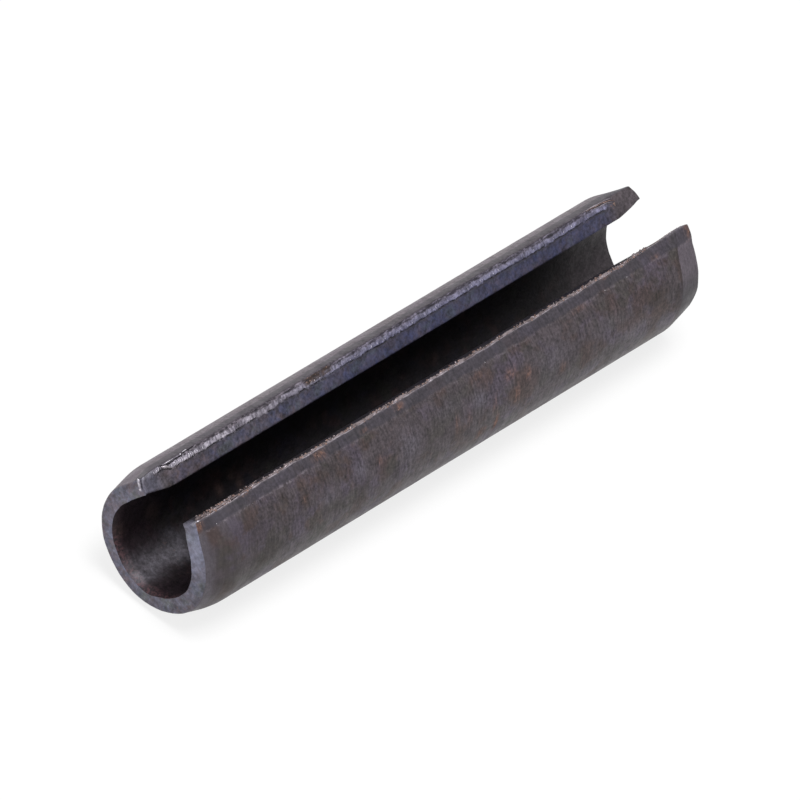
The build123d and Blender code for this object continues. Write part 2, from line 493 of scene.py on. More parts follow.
def addObject(name, data):
    piece = bpy.data.objects.new(name, data)
    bpy.context.collection.objects.link(piece)
    return piece


def wallObject(surface, marks):
    count, around = marks["across"].shape
    points = surface.reshape(-1, 3)
    marks = {name: list(values.reshape(-1)) for name, values in marks.items()}

    # the sides, with a material for each zone: rolled skin, slot faces, bore, and the cut end on the rims
    slotFace = np.ones(rows + 1)
    zone = np.concatenate([np.zeros(columns - 1), slotFace, np.full(columns - 1, 2), slotFace])
    ring = np.arange(around)
    start = np.arange(count - 1)[:, None] * around
    onward = np.roll(ring, -1)
    quads = np.stack([start + ring, start + onward, start + around + onward, start + around + ring], -1)
    kinds = np.broadcast_to(zone, (count - 1, around)).copy()
    onRim = np.zeros(count - 1, bool)
    onRim[:3] = onRim[-3:] = True
    kinds[np.ix_(onRim, zone == 0)] = 3
    faces, kinds = quads.reshape(-1, 4).tolist(), kinds.reshape(-1).tolist()

    # the two end faces, from the outer rim to the inner one
    share = rowShares()
    extra = []
    for station, sign in ((0, -1), (count - 1, 1)):
        base = station * around
        outerRow = base + np.arange(columns)
        innerRow = base + columns + rows + np.arange(columns)[::-1]
        grid = np.zeros((rows + 2, columns), int)
        grid[0], grid[-1] = outerRow, innerRow
        grid[1:-1, -1] = base + columns + np.arange(rows)
        grid[1:-1, 0] = base + 2 * columns + rows + np.arange(rows)[::-1]
        first = len(points) + len(extra)
        grid[1:-1, 1:-1] = first + np.arange(rows * (columns - 2)).reshape(rows, columns - 2)
        outerPoints, innerPoints = points[outerRow[1:-1]], points[innerRow[1:-1]]
        between = outerPoints[None] + (innerPoints - outerPoints)[None] * share[:, None, None]
        angle = np.linspace(0, 30, columns - 2)[None]
        bump = 0.012 * softNoise(angle, share[:, None] * 3 + 0 * angle, 140 + station)
        between[..., 0] += sign * (bump - 0.01) * (np.sin(np.pi * share)**0.5)[:, None]
        extra.extend(between.reshape(-1, 3).tolist())
        for name in marks:
            marks[name].extend([0.0] * rows * (columns - 2))
        cap = np.stack([grid[:-1, :-1], grid[1:, :-1], grid[1:, 1:], grid[:-1, 1:]], -1).reshape(-1, 4)
        faces.extend(cap.tolist())
        kinds.extend([3] * len(cap))

    mesh = newMesh("springPin", np.concatenate([points, extra]), (), faces)
    mesh.polygons.foreach_set("material_index", np.array(kinds, int))
    mesh.polygons.foreach_set("use_smooth", np.ones(len(faces), bool))
    for name, values in marks.items():
        addMark(mesh, name, values)
    cleaned = bmesh.new()
    cleaned.from_mesh(mesh)
    bmesh.ops.recalc_face_normals(cleaned, faces=cleaned.faces)
    cleaned.to_mesh(mesh)
    cleaned.free()
    return addObject("springPin", mesh)


# Shader helpers: a value that plain arithmetic turns into nodes, and the few kinds of node used everywhere

class Value:
    def __init__(self, tree, socket):
        self.tree, self.socket = tree, socket

    def __add__(self, other):
        return combine("ADD", self, other)

    def __sub__(self, other):
        return combine("SUBTRACT", self, other)

    def __rsub__(self, other):
        return combine("SUBTRACT", other, self)

    def __mul__(self, other):
        return combine("MULTIPLY", self, other)

    def __rtruediv__(self, other):
        return combine("DIVIDE", other, self)


def addNode(kind, inputs=(), tree=None, **settings):    # gives the node's outputs, by number and by name
    inputs = dict(inputs)
    tree = tree or next(value.tree for value in inputs.values() if isinstance(value, Value))
    node = tree.nodes.new(kind)
    for name, value in settings.items():
        setattr(node, name, value)
    for name, value in inputs.items():
        if isinstance(value, Value):
            send(value, node.inputs[name])
        else:
            node.inputs[name].default_value = value
    outputs = [Value(tree, socket) for socket in node.outputs]
    return dict(enumerate(outputs)) | {one.socket.name: one for one in outputs}


def send(value, socket):
    value.tree.links.new(value.socket, socket)


def combine(operation, *terms, clamp=False):
    return addNode("ShaderNodeMath", enumerate(terms), operation=operation, use_clamp=clamp)[0]


def linear(levels):                         # named colours, given as red, green and blue from 0 to 255
    def light(c):
        return c / 255 / 12.92 if c <= 10 else ((c / 255 + 0.055) / 1.055)**2.4
    return {name: tuple(light(c) for c in level) + (1,) for name, level in levels.items()}


def noise(place, scale, detail=3.0, rough=0.55, stretch=(1, 1, 1), shift=0.0, turn=0.0):
    if turn:
        place = addNode("ShaderNodeMapping", {"Vector": place, "Rotation": (0, turn, 0)})[0]
    place = addNode("ShaderNodeMapping", {"Vector": place, "Scale": stretch, "Location": (shift,) * 3})[0]
    inputs = {"Vector": place, "Scale": scale, "Detail": detail, "Roughness": rough}
    return addNode("ShaderNodeTexNoise", inputs)[0]


def seededNoise(place, seed, scale, detail, rough, output=0):
    inputs = {"Vector": place, "W": seed, "Scale": scale, "Detail": detail, "Roughness": rough}
    return addNode("ShaderNodeTexNoise", inputs, noise_dimensions="4D")[output]


def rampUp(value, low, high, toLow=0.0, toHigh=1.0):
    inputs = {0: value, 1: low, 2: high, 3: toLow, 4: toHigh}
    return addNode("ShaderNodeMapRange", inputs, interpolation_type="SMOOTHSTEP")[0]


def blend(share, first, second):
    inputs = {0: share, 6: first, 7: second}
    return addNode("ShaderNodeMix", inputs, data_type="RGBA", clamp_factor=True)[2]


def scaled(what, amount):                   # a colour or a vector times a number
    what = what[:3] if isinstance(what, tuple) else what
    return addNode("ShaderNodeVectorMath", {0: what, 3: amount}, operation="SCALE")[0]


def byParts(what, factors):                 # a colour or a vector times another, part by part
    return addNode("ShaderNodeVectorMath", {0: what, 1: factors}, operation="MULTIPLY")[0]


def marked(place, *names):
    return [addNode("ShaderNodeAttribute", tree=place.tree, attribute_name=name)["Fac"] for name in names]


def xyz(place):
    parts = addNode("ShaderNodeSeparateXYZ", {0: place})
    return parts[0], parts[1], parts[2]


def newGroup(kind, name, inputs, outputs):  # inputs and outputs as "name kind, name kind"
    group = bpy.data.node_groups.new(name, kind)
    for way, sockets in (("OUTPUT", outputs), ("INPUT", inputs)):
        for label, sort in (one.rsplit(" ", 1) for one in sockets.split(", ")):
            group.interface.new_socket(label, in_out=way, socket_type="NodeSocket" + sort)
    given = {one.name: Value(group, one) for one in group.nodes.new("NodeGroupInput").outputs}
    return group, given, group.nodes.new("NodeGroupOutput").inputs


def useGroup(group, place, inputs):
    return addNode("ShaderNodeGroup", {"Place": place} | inputs, node_tree=group)


def buildOxideMottle():                     # soft patches of tint in blackened steel
    group, given, out = newGroup(
        "ShaderNodeTree", "oxideMottle",
        "Place Vector, Size Float, Amount Float, Seed Float, Base Color, Cool Color, Warm Color, Olive Color",
        "Color Color, Value Float")
    patches = (("Cool", 0.8, 0.47), ("Warm", 1.1, 0.49), ("Olive", 0.9, 0.51))  # tint, scale, start
    place = scaled(given["Place"], 1.0 / given["Size"])
    tone = given["Base"]
    for step, (name, scale, low) in enumerate(patches):
        patch = rampUp(seededNoise(place, given["Seed"] + 3.7 * step, scale, 4.0, 0.6), low, low + 0.14)
        tone = blend(patch * given["Amount"], tone, given[name])
    send(tone, out["Color"])
    send(seededNoise(place, given["Seed"] + 20.0, 2.2, 4.0, 0.7), out["Value"])
    return group


def buildFineGrain():                       # the surface's tooth: drawn-out streaks, grit and dark pin-holes
    group, given, out = newGroup("ShaderNodeTree", "fineGrain", "Place Vector, Stretch Vector, Seed Float",
                                 "Streak Float, Grit Float, Pits Float")
    place, seed = given["Place"], given["Seed"]
    drawn = byParts(place, given["Stretch"])
    send(seededNoise(drawn, seed, 1.0, 4.0, 0.62), out["Streak"])
    send(seededNoise(place, seed + 5.0, 6.0, 3.0, 0.65), out["Grit"])
    send(rampUp(seededNoise(drawn, seed + 9.0, 1.7, 2.0, 0.5), 0.66, 0.74), out["Pits"])
    return group


def buildRustSpeck():                       # scattered pin-point rust, thicker in places
    group, given, out = newGroup("ShaderNodeTree", "rustSpeck",
                                 "Place Vector, Amount Float, Seed Float, Dark Color, Light Color",
                                 "Mask Float, Color Color")
    place = given["Place"]
    patch = seededNoise(place, given["Seed"], 0.5, 2.0, 0.5)
    dots = seededNoise(place, given["Seed"] + 4.0, 4.5, 4.0, 0.7)
    low = 1.02 - given["Amount"] * 0.3
    send(rampUp(patch * 0.5 + dots, low, low + 0.06), out["Mask"])
    send(blend(rampUp(noise(place, 6.0), 0.35, 0.65), given["Dark"], given["Light"]), out["Color"])
    return group


oxideMottle, fineGrain, rustSpeck = buildOxideMottle(), buildFineGrain(), buildRustSpeck()


def mottled(place, look, size, amount, seed):
    tones = {name.title(): look[name] for name in ("base", "cool", "warm", "olive")}
    return useGroup(oxideMottle, place, {"Size": size, "Amount": amount, "Seed": seed} | tones)


def grained(place, stretch, seed, streak, grit, least):     # the grain, and how it darkens a tone
    grain = useGroup(fineGrain, place, {"Stretch": stretch, "Seed": seed})
    fine = rampUp(grain["Streak"], 0.3, 0.7) * streak + least
    return grain, rampUp(grain["Grit"], 0.3, 0.7) * grit + fine


def rustSpecks(place, amount, seed):
    look = linear({"Dark": (90, 68, 63), "Light": (112, 86, 77)})
    return useGroup(rustSpeck, place, {"Amount": amount, "Seed": seed} | look)


def newMaterial(name):
    material = bpy.data.materials.new(name)
    material.use_nodes = True
    return material, material.node_tree, material.node_tree.nodes["Principled BSDF"]


def newFinish(name, metallic, specular=0.5):
    material, tree, shader = newMaterial(name)
    shader.inputs["Metallic"].default_value = metallic
    shader.inputs["Specular IOR Level"].default_value = specular
    where = addNode("ShaderNodeTexCoord", tree=tree)["Object"]
    place = addNode("ShaderNodeMapping", {"Vector": where, "Scale": (1 / mm,) * 3})[0]
    return material, place


def finishSurface(material, tone, rough, height, distance):
    bump = addNode("ShaderNodeBump", {"Height": height, "Distance": distance * mm, "Strength": 0.6})[0]
    shader = material.node_tree.nodes["Principled BSDF"]
    for name, value in (("Base Color", tone), ("Roughness", rough), ("Normal", bump)):
        send(value, shader.inputs[name])
    return material


def rolledSkin():
    look = linear({
        "base": (68, 61, 65), "cool": (73, 65, 77), "warm": (66, 53, 51), "olive": (60, 56, 54),
        "stained": (45, 38, 35), "pale": (84, 79, 88), "edgeBand": (53, 50, 58), "line": (122, 114, 122),
        "rubbed": (165, 160, 166), "lip": (116, 106, 115), "leadIn": (92, 84, 93), "crease": (44, 36, 38),
        "nearEnd": (72, 67, 73), "rim": (84, 79, 86)})
    along = {"smoother": (-15.5, -19.0), "nearEnd": (-18.9, -19.8), "rim": (-19.3, -19.75),
             "paleLine": (-8.0, -13.0)}
    upwards = {"nearEnd": (7.2, 5.6), "lip": (4.5, 7.0), "leadIn": (1.2, 4.0), "litLeadIn": (4.9, 6.6)}
    leftOfMiddle = (1.0, 2.4)
    material, place = newFinish("rolledSkin", 0.55)
    across, shine, rust, toCrease, stain = marked(place, "across", "shine", "rust", "toCrease", "stain")
    x, y, z = xyz(place)
    mottle = mottled(place, look, size=1.7, amount=0.8, seed=1.0)
    grain, fine = grained(place, (7.2, 1.35, 1.35), seed=1.0, streak=0.72, grit=0.8, least=0.24)
    smoother = rampUp(x, *along["smoother"], 0.0, 0.6)
    fine = (1.0 - fine) * smoother + fine
    stain = stain * (mottle["Value"] * 1.2 + 0.4)
    tone = blend(stain, mottle["Color"], look["pale"])
    tone = blend(stain * -1.0, tone, look["stained"])
    tone = scaled(tone, fine * (1.0 - grain["Pits"] * 0.3))

    # lighter by the near rim; lighter on the upper left lip, a painted reflection; the far lead-in, which
    # starts at a dark crease, is lighter higher up and darker lower down, painted light and shade
    uneven = noise(place, 1.2)
    byEnd = rampUp(uneven * 0.8 + x, *along["nearEnd"]) * rampUp(z, *upwards["nearEnd"])
    tone = blend(byEnd * 0.7, tone, scaled(look["nearEnd"], fine))
    onRim = rampUp(uneven * 0.5 + x, *along["rim"])
    tone = blend(onRim * 0.7, tone, scaled(look["rim"], fine))
    # the upper left lip is lighter: a painted reflection
    lipSide = rampUp(y, *leftOfMiddle) * rampUp(z, *upwards["lip"])
    tone = blend(lipSide * 0.6, tone, scaled(look["lip"], fine))
    fromCrease = noise(place, 2.0, 4, 0.7) * 0.12 + (toCrease - 0.06)
    # the lead-in colour is stronger higher up and dimmed lower down: painted light and shade
    swaged = rampUp(fromCrease, 0.02, -0.03) * rampUp(z, *upwards["leadIn"], 0.15, 0.9)
    lit = rampUp(z, *upwards["litLeadIn"], 0.3, 0.9)
    tone = blend(swaged, tone, scaled(look["leadIn"], (fine * 0.5 + 0.5) * lit))
    creased = rampUp(fromCrease, 0.22, 0.06) * rampUp(fromCrease, -0.02, 0.03)
    tone = blend(creased * 0.5, tone, look["crease"])

    # a cooler band runs along the slot, streaked lengthways, and ends in a faint broken pale line
    wobble = noise(place, 1.3, 4, 0.7) * 0.4 + across
    band = rampUp(wobble, -0.56, -0.40)
    lengthways = rampUp(noise(place, 1.0, 4, 0.7, stretch=(1.2, 4.0, 4.0)), 0.35, 0.65, 0.85, 1.15)
    tone = blend(band * 0.7, tone, scaled(look["edgeBand"], lengthways * (fine * 0.6 + 0.4)))
    onLine = rampUp(wobble, -0.66, -0.54) * (1.0 - band)
    broken = rampUp(noise(place, 2.4, 5, 0.8, shift=5.5), 0.46, 0.62)
    nearer = rampUp(x, *along["paleLine"], 0.35, 0.7)
    tone = blend(onLine * broken * nearer, tone, look["line"])

    speck = rustSpecks(place, amount=0.28, seed=2.0)
    streaked = rust * rampUp(grain["Streak"], 0.38, 0.6, 0.45, 1.5)
    rusty = combine("MAXIMUM", speck["Mask"] * 0.3, streaked, clamp=True)
    tone = blend(rusty, tone, scaled(speck["Color"], fine))
    # the bright edge: worn bare metal with a painted highlight
    tone = blend(shine * 0.8, tone, look["rubbed"])
    rough = rusty * 0.25 + rampUp(mottle["Value"], 0.3, 0.7, 0.42, 0.58)
    return finishSurface(material, tone, rough, grain["Grit"] * 0.7 + grain["Streak"], 0.018)


def shearedFace():
    look = linear({
        "base": (62, 60, 73), "cool": (57, 58, 78), "warm": (69, 62, 70), "olive": (63, 65, 71),
        "band": (52, 47, 54), "bandPale": (112, 105, 114), "shelf": (86, 81, 92), "bright": (186, 180, 192),
        "line": (34, 31, 38), "pit": (30, 28, 36), "nearEnd": (80, 78, 90), "nearTop": (112, 110, 120),
        "farEnd": (72, 65, 68), "brown": (62, 50, 48), "shaded": (32, 26, 29), "rust": (60, 46, 38),
        "rubbed": (190, 185, 190)})
    blueing, greying = (0.92, 0.98, 1.24), (1.1, 0.98, 0.86)
    along = {"lighter": (-14.0, 0.0), "nearEnd": (-17.0, -19.2), "brighterShelf": (-16.0, -7.0),
             "dullerBend": (-17.7, -16.9), "ticks": (-14.0, -3.0), "blue": (-11.0, -1.0),
             "greyFrom": (-19.4, -18.6), "greyTo": (-14.5, -16.5), "wholeLine": (-8.0, 0.0),
             "farEnd": (17.2, 18.6), "shaded": (-20.1, -19.6)}
    material, place = newFinish("shearedFace", 0.55)
    across, here, fromLine, raised, pitted, shine, rust = marked(
        place, "across", "torn", "fromLine", "raised", "pitted", "shine", "rust")
    x, y = xyz(place)[:2]
    mottle = mottled(place, look, size=0.8, amount=0.85, seed=30.0)
    grain, fine = grained(place, (5.0, 2.2, 2.2), seed=4.0, streak=0.5, grit=0.75, least=0.25)
    slanting = noise(place, 1.0, 4, 0.65, stretch=(1.1, 2, 4.0), turn=0.7)
    fine = fine + rampUp(slanting, 0.35, 0.65, -0.08, 0.4)
    lower = rampUp(x, *along["lighter"], 1.36, 0.95) * rampUp(fromLine, 0.0, 0.4, 0.78, 1.03)
    tone = scaled(mottle["Color"], lower)
    byEnd = blend(rampUp(across, 0.3, 0.1), look["nearEnd"], look["nearTop"])
    tone = blend(rampUp(x, *along["nearEnd"], 0.0, 0.9), tone, byEnd)
    brownish = rampUp(noise(place, 2.2, 5, 0.75, shift=21.0), 0.45, 0.65)
    lowDown = rampUp(across, 0.8, 1.3, 0.2, 0.6)
    tone = blend(brownish * lowDown, tone, look["brown"])

    # the torn half: a burnished shelf crossed by tear marks, a darker band over it, and a dark ragged line
    # under it, painted shade in the groove there
    ragged = noise(place, 1.0, 4, 0.7, stretch=(4.5, 3, 3)) * 0.26 + (fromLine - 0.13)
    torn = here * rampUp(ragged, 0.02, -0.02)
    shelf = torn * rampUp(ragged, -0.37, -0.27)
    ticks = rampUp(noise(place, 1.0, 4, 0.65, stretch=(6.5, 1.4, 1.4)), 0.4, 0.58)
    patches = rampUp(noise(place, 0.8, 4, 0.65, shift=11.0), 0.3, 0.54)
    nearer = rampUp(x, *along["brighterShelf"], 0.78, 0.4) * rampUp(x, *along["dullerBend"], 0.5, 1.0)
    ticked = (ticks - 0.45) * rampUp(x, *along["ticks"], 0.75, 0.3) + 0.5
    lit = blend(ticked * patches * nearer, look["shelf"], look["bright"])
    smeared = rampUp(noise(place, 1.0, 4, 0.7, stretch=(2.2, 7, 7), shift=3.0), 0.42, 0.62)
    tone = blend(torn, tone, blend(smeared, look["band"], look["bandPale"]))
    tone = blend(combine("MAXIMUM", shelf, raised * 0.45), tone, lit)
    tone = scaled(tone, fine)

    # bluer towards the far end, and greyer under the line near the near one
    bluer = rampUp(x, *along["blue"]) * rampUp(ragged, -0.5, 0.0, 0.4, 1.0)
    tone = blend(bluer, tone, byParts(tone, blueing))
    greyer = rampUp(x, *along["greyFrom"]) * rampUp(x, *along["greyTo"]) * rampUp(ragged, -0.1, 0.05)
    tone = blend(greyer, tone, byParts(tone, greying))
    # the dark ragged line: painted shade in the groove under the shelf
    onLine = here * rampUp(ragged, -0.07, -0.01) * rampUp(ragged, 0.17, 0.0)
    broken = rampUp(noise(place, 3.0, 4, 0.7, shift=7.0), 0.38, 0.56, 0.15, 1.0)
    onLine = onLine * combine("MAXIMUM", broken, rampUp(x, *along["wholeLine"], 0.0, 0.65))
    tone = blend(onLine, tone, look["line"])
    atFarEnd = rampUp(x, *along["farEnd"], 0.0, 0.9) * (1.0 - torn)
    tone = blend(atFarEnd, tone, scaled(look["farEnd"], fine))
    onRight = rampUp(y, 0.3, -0.3) * rampUp(x, *along["shaded"], 0.0, 0.85)
    tone = blend(onRight, tone, scaled(look["shaded"], fine))
    tone = blend(rust * 0.9, tone, scaled(look["rust"], fine))
    # dark pits, and painted shade in the crack under the folded lip
    tone = blend(pitted * 0.9, tone, look["pit"])
    # the bright edges: worn bare metal with a painted highlight
    tone = blend(shine * 0.9, tone, look["rubbed"])
    rough = torn * 0.08 + rampUp(mottle["Value"], 0.3, 0.7, 0.4, 0.55)
    height = grain["Grit"] * 0.8 + grain["Streak"] + ticks * shelf * 1.2 - onLine * 1.5
    return finishSurface(material, tone, rough, height, 0.02)


def boreSkin():
    # the bore's colours are far darker than the outer skin's: painted shade inside the bore
    look = linear({
        "base": (14, 10, 15), "cool": (17, 15, 24), "warm": (30, 19, 21), "olive": (19, 18, 16),
        "nearMouth": (32, 23, 28), "rim": (84, 58, 62), "farMouth": (55, 49, 53), "lit": (76, 73, 80),
        "rust": (74, 58, 55)})
    mouths = {"near": (-15.0, -20.0), "far": (14.0, 19.0), "stripe": (-14.5, -17.0), "rim": (-18.9, -19.6)}
    material, place = newFinish("boreSkin", 0.2, specular=0.3)
    mottle = mottled(place, look, size=1.2, amount=0.8, seed=60.0)
    grain, fine = grained(place, (2.4, 3.0, 3.0), seed=8.0, streak=0.7, grit=0.7, least=0.3)
    speck = rustSpecks(place, amount=0.3, seed=5.0)

    # paler towards the ends, painted light coming in at the open ends, and a stripe along the floor at the
    # near end, a painted pool of light falling through the slot
    x, y, z = xyz(place)
    along = noise(place, 0.5, 4, 0.6) * 3.0 + (x - 1.5)
    tone = blend(rampUp(along, *mouths["near"]), mottle["Color"], look["nearMouth"])
    tone = blend(rampUp(along, *mouths["far"]), tone, look["farMouth"])
    under = combine("ARCTAN2", y, pin["radius"] - z) - 0.25
    under = noise(place, 0.7, 5, 0.65) * 0.7 + under
    stripe = rampUp(under, 0.0, 0.4) * rampUp(under, 0.9, 0.35) * rampUp(along, *mouths["stripe"])
    patchy = rampUp(noise(place, 1.1, 5, 0.7, shift=2.0), 0.3, 0.6, 0.35, 0.95)
    tone = blend(stripe * patchy, tone, look["lit"])
    tone = scaled(tone, fine)
    ragged = noise(place, 1.5, 4, 0.7) * 1.4 + x
    rim = rampUp(ragged, *mouths["rim"]) * rampUp(grain["Grit"], 0.42, 0.62)
    rim = rim * rampUp(z, 4.0, 2.6, 0.15, 1.0)
    tone = blend(rim * 0.75, tone, look["rim"])
    tone = blend(speck["Mask"] * 0.25, tone, speck["Color"])
    tone = blend(marked(place, "rust")[0], tone, scaled(look["rust"], fine))
    rough = rampUp(mottle["Value"], 0.3, 0.7, 0.45, 0.65)
    return finishSurface(material, tone, rough, grain["Streak"] + grain["Grit"], 0.03)


def cutEnd():
    look = linear({
        "base": (93, 87, 98), "cool": (88, 90, 108), "warm": (102, 88, 93), "olive": (90, 92, 92),
        "pale": (123, 125, 145), "rubbed": (215, 210, 215)})
    material, place = newFinish("cutEnd", 0.55)
    mottle = mottled(place, look, size=0.9, amount=0.8, seed=90.0)
    grain, fine = grained(place, (3.0, 3.0, 3.0), seed=12.0, streak=0.65, grit=0.0, least=0.67)
    tone = blend(rampUp(grain["Grit"], 0.4, 0.7, 0.0, 0.5), mottle["Color"], look["pale"])
    y, z = xyz(place)[1:]
    lipSide = rampUp(y, -1.2, -2.6) * rampUp(z, 3.8, 6.2)
    tone = blend(lipSide * 0.7, tone, look["pale"])
    # darker on the lower -Y side of the end face: painted shade
    lower = rampUp(y, 1.5, -2.5) * rampUp(z, 5.6, 3.6) * 0.2

    # darker towards the outer rim, where the end face turns over: painted shade
    above = z - pin["radius"]
    rimShade = rampUp(combine("SQRT", y * y + above * above), 3.1, 3.75, 1.04, 0.84)
    tone = scaled(tone, (fine - lower) * rimShade)
    speck = rustSpecks(place, amount=0.35, seed=15.0)
    tone = blend(speck["Mask"] * 0.4, tone, speck["Color"])
    # the bright edge: worn bare metal with a painted highlight
    tone = blend(marked(place, "shine")[0] * 0.9, tone, look["rubbed"])
    rough = rampUp(mottle["Value"], 0.3, 0.7, 0.42, 0.56)
    return finishSurface(material, tone, rough, grain["Streak"] + grain["Grit"], 0.018)


def bareSteel(name, base, pale):            # freshly torn or rubbed metal
    look = linear({"base": base, "pale": pale})
    material, place = newFinish(name, 0.6)
    grain = useGroup(fineGrain, place, {"Stretch": (3.0, 3.0, 3.0), "Seed": 40.0})
    worn = rampUp(noise(place, 1.4, 4, 0.7), 0.38, 0.62)
    tone = scaled(blend(worn, look["base"], look["pale"]), grain["Streak"] * 0.5 + 0.75)
    rough = rampUp(grain["Grit"], 0.3, 0.7, 0.28, 0.45)
    return finishSurface(material, tone, rough, grain["Streak"] + grain["Grit"], 0.01)


def rustGrain():
    look = linear({"dark": (78, 58, 54), "light": (140, 116, 108)})
    material, place = newFinish("rustGrain", 0.0)
    grain = useGroup(fineGrain, place, {"Stretch": (4.0, 4.0, 4.0), "Seed": 50.0})
    tone = blend(rampUp(grain["Streak"], 0.35, 0.65), look["dark"], look["light"])
    rough = rampUp(grain["Grit"], 0.3, 0.7, 0.75, 0.95)
    return finishSurface(material, tone, rough, grain["Streak"] + grain["Grit"], 0.02)


surface, marks = buildSurface()
springPin = wallObject(surface, marks)
for finish in (rolledSkin(), shearedFace(), boreSkin(), cutEnd()):
    springPin.data.materials.append(finish)
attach(springPin, "root")
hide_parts("spring_pin")
print("spring pin built:", len(springPin.data.polygons), "faces")


# Geometry Nodes helpers

def newTree(name, inputs):
    inputs = "Geometry Geometry, " + inputs + ", Material Material"
    tree, given, out = newGroup("GeometryNodeTree", name, inputs, "Geometry Geometry")
    tree.is_modifier = True
    return tree, given, out


def finishTree(shape, given, out):
    smooth = addNode("GeometryNodeSetShadeSmooth", {"Geometry": shape})[0]
    real = addNode("GeometryNodeRealizeInstances", {"Geometry": smooth})[0]
    dressed = addNode("GeometryNodeSetMaterial", {"Geometry": real, "Material": given["Material"]})[0]
    send(dressed, out["Geometry"])
    return shape.tree


def named(tree, name, kind="FLOAT"):
    return addNode("GeometryNodeInputNamedAttribute", {"Name": name}, tree, data_type=kind)[0]


def randomNumber(low, high, seed):          # the third and fourth inputs are the range of a plain number
    inputs = {2: low, 3: high, "Seed": seed}
    return addNode("FunctionNodeRandomValue", inputs, data_type="FLOAT")[1]


def growPiece(name, source, tree, settings):
    host = addObject(name + "Source", source)
    grower = host.modifiers.new("grow", "NODES")
    grower.node_group = tree
    for item in tree.interface.items_tree:
        if item.in_out == "INPUT" and item.name in settings:
            grower[item.identifier] = settings[item.name]
    evaluated = host.evaluated_get(bpy.context.evaluated_depsgraph_get())
    mesh = bpy.data.meshes.new_from_object(evaluated)
    mesh.name = name
    bpy.data.objects.remove(host)
    piece = addObject(name, mesh)
    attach(piece, "root")
    print(name + " grown:", len(mesh.polygons), "faces")


def growBeads(name, paths, settings):       # ragged beads along paths of points, each with its half thickness
    points = [place for path in paths for place, thick in path]
    starts = np.cumsum([0] + [len(path) for path in paths])
    edges = [(k, k + 1) for first, last in zip(starts, starts[1:]) for k in range(first, last - 1)]
    mesh = newMesh(name + "Lines", points, edges)
    addMark(mesh, "thickness", [thick for path in paths for place, thick in path])
    growPiece(name, mesh, raggedBurr, {"Sides": 6, "Thinnest": 0.35, "Thickest": 1.3} | settings)


def buildRaggedBurr():                      # a thin ragged bead along a line
    tree, given, out = newTree(
        "raggedBurr", "Spacing Float, Wander Float, Sides Int, Thinnest Float, Thickest Float, Seed Float")
    line = addNode("GeometryNodeMeshToCurve", {"Mesh": given["Geometry"]})[0]
    resampling = {"Curve": line, "Length": given["Spacing"]}
    line = addNode("GeometryNodeResampleCurve", resampling, mode="LENGTH")[0]
    where = addNode("GeometryNodeInputPosition", tree=tree)[0]
    ragged = seededNoise(where, given["Seed"], 3.5 / mm, 3.0, 0.7, "Color")
    centred = addNode("ShaderNodeVectorMath", {0: ragged, 1: (0.5, 0.5, 0.5)}, operation="SUBTRACT")[0]
    moved = {"Geometry": line, "Offset": scaled(centred, given["Wander"])}
    line = addNode("GeometryNodeSetPosition", moved)[0]
    circle = {"Resolution": given["Sides"], "Radius": mm}
    profile = addNode("GeometryNodeCurvePrimitiveCircle", circle)[0]
    lumps = seededNoise(where, given["Seed"] + 7.0, 2.2 / mm, 3.0, 0.5)
    scale = named(tree, "thickness") * rampUp(lumps, 0.35, 0.65, given["Thinnest"], given["Thickest"])
    bead = {"Curve": line, "Profile Curve": profile, "Scale": scale, "Fill Caps": True}
    return finishTree(addNode("GeometryNodeCurveToMesh", bead)[0], given, out)


def buildScatter():                         # small lumps spread over a surface where a mark says so
    tree, given, out = newTree(
        "scatteredLumps",
        "Mark String, Per Square Metre Float, Smallest Float, Largest Float, Flatness Float, Seed Int")
    seed = given["Seed"]
    density = rampUp(named(tree, given["Mark"]), 0.25, 0.8) * given["Per Square Metre"]
    where = {"Mesh": given["Geometry"], "Density": density, "Seed": seed}
    spots = addNode("GeometryNodeDistributePointsOnFaces", where)
    lump = addNode("GeometryNodeMeshIcoSphere", {"Radius": 1.0, "Subdivisions": 1}, tree)[0]
    size = randomNumber(given["Smallest"], given["Largest"], seed)
    stretched = size * randomNumber(0.7, 1.6, seed + 3.0)
    scale = addNode("ShaderNodeCombineXYZ", {0: stretched, 1: size, 2: size * given["Flatness"]})[0]
    placed = {"Points": spots[0], "Instance": lump, "Rotation": spots["Rotation"], "Scale": scale}
    return finishTree(addNode("GeometryNodeInstanceOnPoints", placed)[0], given, out)


def buildTearMarks():                       # slivers standing across the torn half of a slot face
    tree, given, out = newTree("tearMarks", "Thickness Float, Length Float, Lean Float, Seed Int")
    seed = given["Seed"]
    down = named(tree, "down", "FLOAT_VECTOR")
    turn = addNode("FunctionNodeAlignRotationToVector", {"Vector": down}, axis="Z")[0]
    lean = randomNumber(given["Lean"] * -1.0, given["Lean"], seed)
    lean = addNode("ShaderNodeCombineXYZ", {1: lean})[0]
    lean = addNode("FunctionNodeEulerToRotation", {0: lean})[0]
    leant = {"Rotation": turn, "Rotate By": lean}
    turn = addNode("FunctionNodeRotateRotation", leant, rotation_space="LOCAL")[0]
    shape = addNode("GeometryNodeMeshIcoSphere", {"Radius": 1.0, "Subdivisions": 2}, tree)[0]
    strength = named(tree, "thickness")
    thick = given["Thickness"] * strength * randomNumber(0.6, 1.4, seed + 5.0)
    long = given["Length"] * strength * randomNumber(0.6, 1.15, seed + 10.0)
    scale = addNode("ShaderNodeCombineXYZ", {0: thick, 1: thick, 2: long})[0]
    placed = {"Points": given["Geometry"], "Instance": shape, "Rotation": turn, "Scale": scale}
    return finishTree(addNode("GeometryNodeInstanceOnPoints", placed)[0], given, out)


